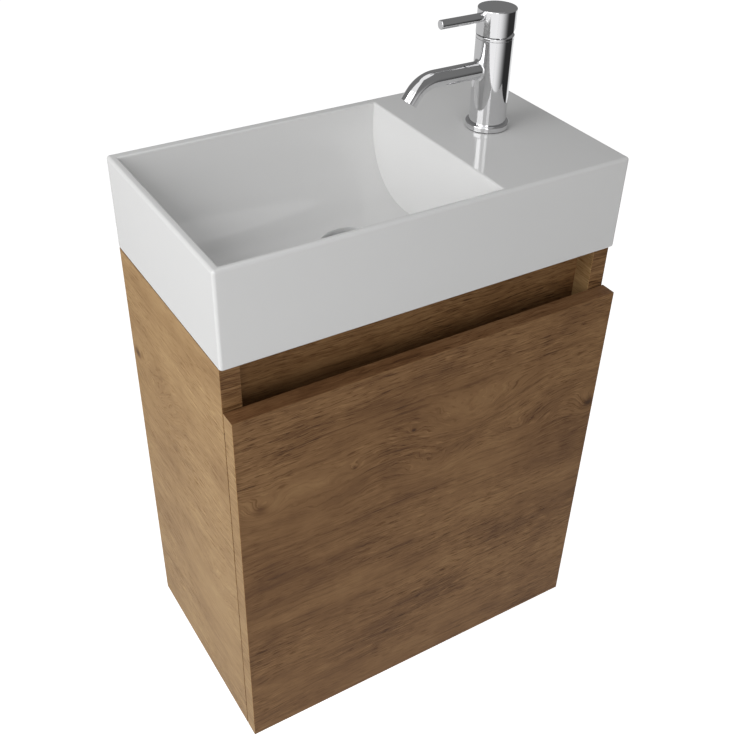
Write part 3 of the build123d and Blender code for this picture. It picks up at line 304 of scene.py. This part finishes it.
def glazed(name, look):
    """White glaze: a faint tone drift, a very shallow waviness and a glossy coat."""
    finish = Finish(name)
    place = finish.space["Object"]
    drift = finish.noise(place, 9.0, 2.0, 0.5)
    colour = finish.tint(drift, look.glaze_colour, [c * 0.975 for c in look.glaze_colour])
    finish.bump(finish.noise(place, 55.0, 2.0, 0.4), 0.06, 0.0004)
    finish.set(base_color=colour, roughness=look.glaze_roughness)
    return finish.material


def plated(name, colour, roughness, streak=0.0, grain=120.0):
    """Bright metal: its roughness drifts in soft patches, and turned parts have fine streaks."""
    finish = Finish(name)
    place = finish.space["Object"]
    patches = finish.noise(place, 38.0, 3.0, 0.6)
    rough = finish.span(patches, 0.3, 0.75, roughness * 0.75, roughness * 1.35, soft=False)
    finish.set(base_color=colour, metallic=1.0, roughness=rough)
    if streak:
        lines = finish.noise(place, (grain, grain, grain * 9.0), 2.0, 0.5)
        finish.bump(lines, streak, 0.0001)
    return finish.material


def moulded(name, colour, roughness, grain=420.0, relief=0.12):
    """Moulded plastic or rubber: a fine eroded texture and a slight tone drift."""
    finish = Finish(name)
    place = finish.space["Object"]
    drift = finish.noise(place, 24.0, 3.0, 0.6)
    finish.bump(finish.noise(place, grain, 3.0, 0.6), relief, 0.0002)
    darker = [c * 0.9 for c in colour]
    finish.set(base_color=finish.tint(drift, colour, darker), roughness=roughness)
    return finish.material


def two_tone(name, first, second, split):
    """A plastic plug in two colours, divided at a Y value in metres."""
    finish = Finish(name)
    place = finish.space["Object"]
    half = finish.math("GREATER_THAN", finish.parts(place)[1], split)
    finish.bump(finish.noise(place, 420.0, 3.0, 0.6), 0.1, 0.0002)
    finish.set(base_color=finish.tint(half, first, second), roughness=0.35)
    return finish.material


def turned_wood(name, colour):
    """Beech: short flecks and fibres along X, the way the dowels lie."""
    finish = Finish(name)
    place = finish.space["Object"]
    fibre = finish.noise(place, (60.0, 900.0, 900.0), 3.0, 0.6)
    fleck = finish.span(finish.noise(place, (160.0, 620.0, 620.0), 2.0, 0.5), 0.58, 0.7)
    share = finish.math("MULTIPLY", finish.math("ADD", fibre, fleck), 0.5, clamp=True)
    finish.bump(fibre, 0.2, 0.0002)
    darker = [c * 0.55 for c in colour]
    finish.set(base_color=finish.tint(share, colour, darker), roughness=0.62)
    return finish.material


def rubber(name):
    return moulded(name, (0.03, 0.03, 0.03), 0.7)


def dress(material, nodes):
    """Gives a material to every slot of the named CAD nodes."""
    for name in nodes:
        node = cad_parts[name]
        if not node.material_slots:
            node.data.materials.append(material)
        for slot in node.material_slots:
            slot.material = material


# Pieces


def add_mesh(name, points, quads, material):
    """Makes a mesh object from points, in metres, and quads of their numbers."""
    mesh = bpy.data.meshes.new(name)
    mesh.from_pydata(points.reshape(-1, 3).tolist(), [], quads.reshape(-1, 4).tolist())
    mesh.materials.append(material)
    made = bpy.data.objects.new(name, mesh)
    bpy.context.scene.collection.objects.link(made)
    return made


GRIP_COLUMNS = 10  # round each rib
GRIP_ENDS = (0.14, 0.2, 0.8, 0.86)  # shares of the piece's length
GRIP_SINK = 0.2  # between ribs the sleeve is this share of a rib's height under the surface
GRIP_FLATNESS = 1.6  # over 1, the cosine is clipped to a flat top and foot


def grip(node, axis, ribs, height, material):
    """A ribbed sleeve round a turned CAD piece, sunk a little into it.

    The section is a closed loop of four points, and the sleeve turns it once round the piece's
    axis. The outer two points move in and out as a cosine of the angle times the number of ribs,
    clipped to give each rib a flat top, and the inner two stay under the piece's surface.
    """
    low, high = np.array(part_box(node))
    first, second = (axis + 1) % 3, (axis + 2) % 3
    centre = (low + high) / 2
    radius = (high - low)[first] / 2
    turn = np.linspace(0, 2 * np.pi, ribs * GRIP_COLUMNS, endpoint=False)
    wave = np.clip(GRIP_FLATNESS * np.cos(ribs * turn), -1, 1)
    inner = np.full_like(turn, radius - (1 + GRIP_SINK) * height)
    outer = radius + height * ((wave + 1) / 2 - GRIP_SINK)
    reach = np.stack([inner, outer, outer, inner])
    points = np.empty((*reach.shape, 3))
    points[..., first] = centre[first] + reach * np.cos(turn)
    points[..., second] = centre[second] + reach * np.sin(turn)
    points[..., axis] = (low[axis] + (high - low)[axis] * np.array(GRIP_ENDS))[:, None]
    corner = np.arange(reach.size).reshape(reach.shape)
    ahead = np.roll(corner, -1, axis=1)
    quads = [corner, ahead, np.roll(ahead, -1, axis=0), np.roll(corner, -1, axis=0)]
    piece = add_mesh(node + "_grip", points, np.stack(quads, -1), material)
    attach(piece, "cabinet")


# The studio, in metres

FLOOR_HALF = 9.0
FLOOR_LIFT = 0.78  # emission that brings the lit floor to white
# Place, aim and width
KEY_LAMP = ((-1.2, -0.2, 0.66), (0.0, -0.11, 0.0), 1.0)
FILL_LAMP = ((-0.7, -2.0, 0.45), (0.0, -0.11, -0.1), 1.4)
TAP_AXIS = (0.128, -0.104)
# A screen round the tap that glows only in reflections: painted reflections in the chrome and
# glaze
FLAG_TURNS = (-118, 168)  # degrees round the tap
FLAG_RADIUS = 0.95
FLAG_LEAN = 60  # degrees at the top
FLAG_FOOT, FLAG_HEIGHT = -0.71, 2.1
# Its glow round the tap, which paints the reflections: from one angle to another, in radians, and
# from one value to another
FLAG_FRONT = (-1.95, -0.85, 1.0, 0.03)
FLAG_BACK = (-0.1, 0.15, 0.0, 0.9)
FLAG_LEFT = (1.0, 1.35, 0.9, 0.6)
# Between these heights it changes to the shade of its top
FLAG_TOP_HEIGHTS, FLAG_TOP_SHADE = (-0.1, 0.35), 0.19
CAMERA_PLACE = (-0.44018, -0.81785, 0.52005)
CAMERA_TURN = (0.91349, -0.02602, -0.54789)  # radians
CAMERA_LENS, CAMERA_SENSOR = 50.6, 36.0  # millimetres
CAMERA_SHIFT = (-0.0094, 0.0271)


# What a user may change


class VanityOakLook(bpy.types.PropertyGroup):
    # The side colour is a lighter copy of the front colour: painted light from the left on side
    # faces, painted shade on the fronts
    shaded_front_colour: FloatVectorProperty(
        name="Front colour", description="Oak on faces to the front and back",
        subtype="COLOR", default=(0.2, 0.1, 0.0375), min=0.0, max=1.0,
    )
    lit_side_colour: FloatVectorProperty(
        name="Side colour", description="Oak on faces to the left and right",
        subtype="COLOR", default=(0.39, 0.236, 0.102), min=0.0, max=1.0,
    )
    top_colour: FloatVectorProperty(
        name="Edge colour", description="Oak on upper and lower edges",
        subtype="COLOR", default=(0.195, 0.095, 0.039), min=0.0, max=1.0,
    )
    rings_per_metre: FloatProperty(
        name="Rings per metre", description="Growth rings across one metre of board",
        default=230.0, min=10.0, max=600.0,
    )
    ring_drift: FloatProperty(
        name="Ring drift", description="How far the rings wander over a board",
        default=0.032, min=0.0, max=0.3, subtype="DISTANCE", unit="LENGTH",
    )
    ring_ripple: FloatProperty(
        name="Ring ripple", description="How far the rings waver within a hand's width",
        default=0.008, min=0.0, max=0.1, subtype="DISTANCE", unit="LENGTH",
    )
    figure_waver: FloatProperty(
        name="Figure waver", description="How far the rings waver inside a figure",
        default=0.016, min=0.0, max=0.1, subtype="DISTANCE", unit="LENGTH",
    )
    pore_relief: FloatProperty(
        name="Pore relief", description="Strength of the pores' relief",
        default=0.25, min=0.0, max=1.0, subtype="FACTOR",
    )


class VanityCeramicLook(bpy.types.PropertyGroup):
    glaze_colour: FloatVectorProperty(
        name="Glaze colour", description="White of the basin's glaze",
        subtype="COLOR", default=(0.83, 0.83, 0.825), min=0.0, max=1.0,
    )
    glaze_roughness: FloatProperty(
        name="Glaze roughness", description="Low is a sharper shine",
        default=0.07, min=0.0, max=1.0, subtype="FACTOR",
    )


class VanityTapLook(bpy.types.PropertyGroup):
    chrome_colour: FloatVectorProperty(
        name="Chrome colour", description="Tint of the chrome plating",
        subtype="COLOR", default=(0.78, 0.78, 0.79), min=0.0, max=1.0,
    )
    chrome_roughness: FloatProperty(
        name="Chrome roughness", description="Low is a sharper reflection",
        default=0.05, min=0.0, max=1.0, subtype="FACTOR",
    )
    hot_colour: FloatVectorProperty(
        name="Hot mark", description="Half of the index plug towards hot",
        subtype="COLOR", default=(0.5, 0.02, 0.015), min=0.0, max=1.0,
    )
    cold_colour: FloatVectorProperty(
        name="Cold mark", description="Half of the index plug towards cold",
        subtype="COLOR", default=(0.015, 0.07, 0.45), min=0.0, max=1.0,
    )


class VanityTrapLook(bpy.types.PropertyGroup):
    plastic_colour: FloatVectorProperty(
        name="Trap colour", description="White plastic of the bottle trap",
        subtype="COLOR", default=(0.78, 0.78, 0.77), min=0.0, max=1.0,
    )
    ribs: IntProperty(
        name="Ribs", description="Grip ribs round each nut and the cup",
        default=40, min=6, max=120,
    )
    rib_height: FloatProperty(
        name="Rib height", description="How far the grip ribs stand out",
        default=0.0008, min=0.0001, max=0.003, subtype="DISTANCE", unit="LENGTH",
    )


class VanityStudio(bpy.types.PropertyGroup):
    floor_height: FloatProperty(
        name="Floor height", description="Height of the floor below the wall screws",
        default=-0.72, subtype="DISTANCE", unit="LENGTH",
    )
    room_light: FloatProperty(
        name="Room light", description="Even light from all round",
        default=0.335, min=0.0, max=4.0,
    )
    key_light: FloatProperty(
        name="Key light", description="Lamp at the left", default=10.1, min=0.0, unit="POWER",
    )
    fill_light: FloatProperty(
        name="Fill light", description="Lamp in front", default=9.8, min=0.0, unit="POWER",
    )


LOOKS = {
    "vanity_oak": VanityOakLook,
    "vanity_ceramic": VanityCeramicLook,
    "vanity_tap": VanityTapLook,
    "vanity_trap": VanityTrapLook,
    "vanity_studio": VanityStudio,
}


# Operators


class VANITY_OT_basin(bpy.types.Operator):
    """Glaze the basin and lay the matt sealant under it"""

    bl_idname = "vanity.basin"
    bl_label = "Basin"

    def execute(self, context):
        look = context.scene.vanity_ceramic
        dress(glazed("glazed_ceramic", look), ["basin"])
        dress(moulded("sealant_silicone", (0.62, 0.62, 0.6), 0.55, 300.0), ["basin_sealant"])
        return {"FINISHED"}


class VANITY_OT_cabinet(bpy.types.Operator):
    """Give the side panels, rails, fascia, shelf and bottom their oak"""

    bl_idname = "vanity.cabinet"
    bl_label = "Cabinet boards"

    def execute(self, context):
        look = context.scene.vanity_oak
        for count, name in enumerate(SIDES):
            seed = 3.0 + 5.0 * count
            side = oak("oak_" + name, look, seed, SIDE_FIGURES, SIDE_KNOTS, SIDE_EDGE_GRAIN)
            dress(side, [name])
        for count, name in enumerate(INNER_BOARDS):
            dress(oak("oak_" + name, look, 20.0 + 3.7 * count), [name])
        return {"FINISHED"}


class VANITY_OT_door(bpy.types.Operator):
    """Give the door its figured oak and clear bumpers"""

    bl_idname = "vanity.door"
    bl_label = "Door"

    def execute(self, context):
        look = context.scene.vanity_oak
        dress(oak("oak_door", look, 1.0, DOOR_FIGURES, DOOR_KNOTS), ["door"])
        clear = moulded("clear_bumper", (0.75, 0.76, 0.76), 0.2, 200.0, 0.05)
        dress(clear, ["door_bumpers"])
        return {"FINISHED"}


class VANITY_OT_fixings(bpy.types.Operator):
    """Finish the cams, bolts, dowels and shelf pegs"""

    bl_idname = "vanity.fixings"
    bl_label = "Cabinet fixings"

    def execute(self, context):
        dress(plated("zinc_castings", (0.55, 0.56, 0.57), 0.32, 0.15, 300.0), ["cam_locks"])
        steel = plated("steel_fixings", STEEL, 0.26, 0.2, 200.0)
        dress(steel, ["cam_bolts", "shelf_pegs"])
        dress(turned_wood("beech_dowels", (0.62, 0.42, 0.25)), ["dowels"])
        return {"FINISHED"}


class VANITY_OT_hinges(bpy.types.Operator):
    """Finish the concealed hinges and their screws"""

    bl_idname = "vanity.hinges"
    bl_label = "Hinges"

    def execute(self, context):
        steel = plated("nickel_plated_steel", (0.62, 0.62, 0.61), 0.27, 0.04, 160.0)
        names = ("cups", "arms", "plates", "outer_links", "inner_links", "arm_pins", "cup_pins")
        dress(steel, ["hinge_" + name for name in names])
        screws = plated("zinc_plated_screws", (0.62, 0.62, 0.6), 0.28, 0.1, 400.0)
        dress(screws, ["hinge_plate_screws", "hinge_cup_screws"])
        return {"FINISHED"}


class VANITY_OT_waste(bpy.types.Operator):
    """Finish the waste, its strainer and its seals"""

    bl_idname = "vanity.waste"
    bl_label = "Waste"

    def execute(self, context):
        look = context.scene.vanity_tap
        chrome = plated("chrome_waste", look.chrome_colour, look.chrome_roughness * 1.6)
        dress(chrome, ["waste_body", "waste_grid", "waste_nut"])
        dress(rubber("rubber_waste"), ["waste_seal", "waste_gasket"])
        return {"FINISHED"}


class VANITY_OT_trap(bpy.types.Operator):
    """Finish the bottle trap"""

    bl_idname = "vanity.trap"
    bl_label = "Bottle trap"

    def execute(self, context):
        look = context.scene.vanity_trap
        white = moulded("white_plastic", look.plastic_colour, 0.38)
        dress(white, ["trap_" + name for name in TRAP_SHELLS])
        for name, axis in (("inlet_nut", 2), ("neck_nut", 2), ("cup", 2), ("outlet_nut", 1)):
            grip("trap_" + name, axis, look.ribs, look.rib_height, white)
        seals = ("inlet_seal", "neck_seal", "cup_seal", "outlet_seal")
        dress(rubber("rubber_trap"), ["trap_" + name for name in seals])
        return {"FINISHED"}


class VANITY_OT_tap(bpy.types.Operator):
    """Chrome the tap and finish its inner and hidden pieces"""

    bl_idname = "vanity.tap"
    bl_label = "Tap"

    def execute(self, context):
        look = context.scene.vanity_tap
        chrome = plated("chrome_tap", look.chrome_colour, look.chrome_roughness)
        outer = ("base_ring", "body", "collar", "cap", "lever")
        dress(chrome, ["tap_" + name for name in outer])
        brass = plated("brass_tap", (0.72, 0.5, 0.22), 0.25, 0.1)
        dress(brass, ["tap_shank", "tap_cartridge_nut"])
        steel = plated("steel_tap", STEEL, 0.28, 0.15)
        dress(steel, ["tap_" + name for name in TAP_STEEL])
        plastic = moulded("plastic_tap", (0.7, 0.7, 0.69), 0.4)
        dress(plastic, ["tap_cartridge", "tap_carrier", "tap_aerator"])
        plug = "tap_index_plug"
        split = np.mean(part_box(plug), axis=0)[1]
        dress(two_tone("index_marks", look.cold_colour, look.hot_colour, split), [plug])
        dress(rubber("rubber_tap"), ["tap_base_seal", "tap_fixing_pad"])
        return {"FINISHED"}


class VANITY_OT_stage(bpy.types.Operator):
    """Set the floor, the lamps, the room light and the camera"""

    bl_idname = "vanity.stage"
    bl_label = "Studio"

    def execute(self, context):
        scene = context.scene
        studio = scene.vanity_studio
        self.lay_floor(studio.floor_height)
        self.light_room(scene, studio.room_light)
        self.hang_lamp("key_lamp", studio.key_light, *KEY_LAMP)
        self.hang_lamp("fill_lamp", studio.fill_light, *FILL_LAMP)
        self.paint_reflection_card()
        self.place_camera(scene)
        return {"FINISHED"}

    def lay_floor(self, height):
        """The pale floor: lit normally, and lifted to white for what sees it directly."""
        corners = np.array([(-1, -1), (1, -1), (1, 1), (-1, 1)]) * FLOOR_HALF
        finish = Finish("pale_floor")
        finish.set(base_color=(0.8, 0.8, 0.8), roughness=0.9, specular_ior_level=0.0)
        lift = finish.math("MULTIPLY", finish.seen_directly(), FLOOR_LIFT)
        finish.set(emission_color=(1.0, 1.0, 1.0), emission_strength=lift)
        points = np.column_stack([corners, np.full(4, height)])
        add_mesh("floor", points, np.arange(4), finish.material)

    def light_room(self, scene, strength):
        """A white world to the eye and in reflections, which lights the rest more weakly."""
        world = bpy.data.worlds.new("white_studio")
        world.use_nodes = True
        scene.world = world
        room = Nodes(world.node_tree)
        background = world.node_tree.nodes["Background"]
        room.feed(background.inputs["Color"], (1.0, 1.0, 1.0))
        level = room.blend(room.seen_directly(), strength, 1.0)
        room.feed(background.inputs["Strength"], level)

    def hang_lamp(self, name, power, place, aim, width):
        lamp = bpy.data.lights.new(name, "AREA")
        lamp.shape = "SQUARE"
        lamp.size = width
        lamp.energy = power
        holder = bpy.data.objects.new(name, lamp)
        bpy.context.scene.collection.objects.link(holder)
        holder.location = place
        way = Vector(aim) - Vector(place)
        holder.rotation_euler = way.to_track_quat("-Z", "Y").to_euler()

    def paint_reflection_card(self):
        """A dark, partly glowing screen round the back and right of the tap, seen only in
        reflections: painted reflections.

        Points lie on a drum round the tap, bent in towards the top: the drum's radius times the
        cosine of a lean, which grows with the square of the share of the height.
        """
        turns = np.radians(np.linspace(*FLAG_TURNS, 58))
        turn, rise = np.meshgrid(turns, np.linspace(0, 1, 25))
        radius = FLAG_RADIUS * np.cos(np.radians(FLAG_LEAN) * rise**2)
        x = TAP_AXIS[0] + radius * np.cos(turn)
        y = TAP_AXIS[1] + radius * np.sin(turn)
        z = FLAG_FOOT + FLAG_HEIGHT * rise
        corner = np.arange(rise.size).reshape(rise.shape)
        quads = (corner[:-1, :-1], corner[:-1, 1:], corner[1:, 1:], corner[1:, :-1])

        # Painted reflections: dark at the right, bright strips at the front and back, paler at the
        # left, grey on top
        finish = Finish("dark_flag")
        east, north, up = finish.parts(finish.space["Object"])
        north = finish.math("SUBTRACT", north, TAP_AXIS[1])
        east = finish.math("SUBTRACT", east, TAP_AXIS[0])
        angle = finish.math("ARCTAN2", north, east)
        front, back, left = [finish.span(angle, *s) for s in (FLAG_FRONT, FLAG_BACK, FLAG_LEFT)]
        low = finish.math("MAXIMUM", front, finish.math("MINIMUM", back, left))
        shade = finish.blend(finish.span(up, *FLAG_TOP_HEIGHTS), low, FLAG_TOP_SHADE)
        finish.set(base_color=(0.0, 0.0, 0.0), roughness=1.0, specular_ior_level=0.0)
        finish.set(emission_color=(1.0, 1.0, 1.0), emission_strength=shade)

        points = np.stack([x, y, z], -1)
        flag = add_mesh("dark_flag", points, np.stack(quads, -1), finish.material)
        for kind in ("camera", "diffuse", "shadow", "transmission", "volume_scatter"):
            setattr(flag, "visible_" + kind, False)

    def place_camera(self, scene):
        """The photograph's viewpoint, for a square frame."""
        lens = bpy.data.cameras.new("camera")
        lens.lens = CAMERA_LENS
        lens.sensor_width = CAMERA_SENSOR
        lens.shift_x, lens.shift_y = CAMERA_SHIFT
        camera = bpy.data.objects.new("camera", lens)
        scene.collection.objects.link(camera)
        camera.location = CAMERA_PLACE
        camera.rotation_euler = Euler(CAMERA_TURN, "XYZ")
        scene.camera = camera
        scene.view_settings.view_transform = "Standard"


OPERATORS = (
    VANITY_OT_basin,
    VANITY_OT_cabinet,
    VANITY_OT_door,
    VANITY_OT_fixings,
    VANITY_OT_hinges,
    VANITY_OT_waste,
    VANITY_OT_trap,
    VANITY_OT_tap,
    VANITY_OT_stage,
)


class VANITY_PT_sidebar(bpy.types.Panel):
    """The vanity unit's looks and the buttons that make them"""

    bl_idname = "VANITY_PT_sidebar"
    bl_label = "Vanity unit"
    bl_space_type = "VIEW_3D"
    bl_region_type = "UI"
    bl_category = "Vanity"

    def draw(self, context):
        layout = self.layout
        for operator in OPERATORS:
            layout.operator(operator.bl_idname)
        for name, group in LOOKS.items():
            box = layout.box()
            for field in group.__annotations__:
                box.prop(getattr(context.scene, name), field)


CLASSES = (*LOOKS.values(), *OPERATORS, VANITY_PT_sidebar)


def register():
    for item in CLASSES:
        bpy.utils.register_class(item)
    for name, group in LOOKS.items():
        setattr(bpy.types.Scene, name, PointerProperty(type=group))


def unregister():
    for name in LOOKS:
        delattr(bpy.types.Scene, name)
    for item in reversed(CLASSES):
        bpy.utils.unregister_class(item)


def main():
    register()
    for operator in OPERATORS:
        group, name = operator.bl_idname.split(".")
        getattr(getattr(bpy.ops, group), name)()


if __name__ == "__main__":
    main()
